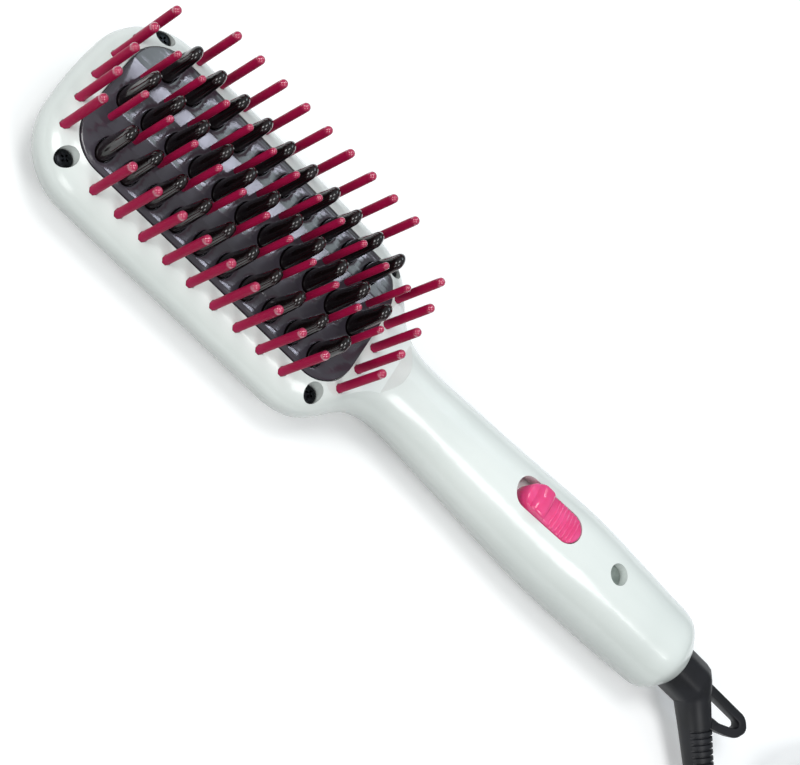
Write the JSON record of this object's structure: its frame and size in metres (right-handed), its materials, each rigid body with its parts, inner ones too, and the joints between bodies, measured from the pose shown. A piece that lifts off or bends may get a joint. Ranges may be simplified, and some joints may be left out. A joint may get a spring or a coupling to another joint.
{
  "type": "hair straightening brush",
  "caption": "Paddle hair brush with heated oval tines among round pins, a slide switch on the grip, a swivelling cord fitting with a hanging loop, and a coiled cord with a two-pin plug.",
  "frame": {"origin": "on the flat back of the head, under the middle of the bristle field", "axes": "+X along the handle towards the cord, +Z out of the bristle field"},
  "size_m": [0.3761, 0.0904, 0.0396],
  "materials": {
    "white_housing": "glossy pearl white",
    "dark_cover": "satin dark charcoal",
    "black_tine": "glossy black coating",
    "pink_pin": "translucent crimson pink",
    "aluminium": "plain",
    "ceramic": "ceramic",
    "insulation": "mica sheet",
    "steel": "zinc plated",
    "black_steel": "black screw",
    "board": "green board",
    "black_plastic": "matte",
    "pink_knob": "translucent hot pink",
    "window": "clear",
    "black_fitting": "matte charcoal",
    "brass": "plain",
    "wire": "insulated wire",
    "cord": "satin black"
  },
  "bodies": {
    "brush": {"front_shell": "white_housing", "back_shell": "white_housing", "heater_cover": "dark_cover", "near_tines": "black_tine", "middle_tines": "black_tine", "far_tines": "black_tine", "rim_pins": "pink_pin", "inner_pins": "pink_pin", "pin_strips": "pink_pin", "heater_plate": "aluminium", "heating_elements": "ceramic", "clamp_plate": "aluminium", "insulation_sheet": "insulation", "plate_screws": "steel", "thermal_fuse": "ceramic", "temperature_sensor": "ceramic", "head_screws": "black_steel", "circuit_board": "board", "board_screws": "steel", "switch_body": "black_plastic", "indicator_window": "window", "indicator_lamp": "window", "contact_springs": "brass", "heater_wires": "wire", "supply_wires": "wire", "cord_coil": "cord", "plug_body": "cord", "plug_pins": "brass"},
    "switch": {"switch_slider": "black_plastic", "switch_knob": "pink_knob"},
    "swivel": {"swivel_fitting": "black_fitting", "swivel_barrel": "black_plastic", "slip_rings": "brass", "cord_lead": "cord"}
  },
  "joints": [
    {"name": "switch_slide", "type": "slide", "parent": "brush", "child": "switch", "axis": [1, 0, 0], "range_m": [-0.0022, 0]},
    {"name": "cord_swivel", "type": "hinge", "parent": "brush", "child": "swivel", "pos_m": [0.185, 0, 0.0128], "axis": [-1, 0, 0], "continuous": true, "deforming": ["cord_lead"]}
  ]
}
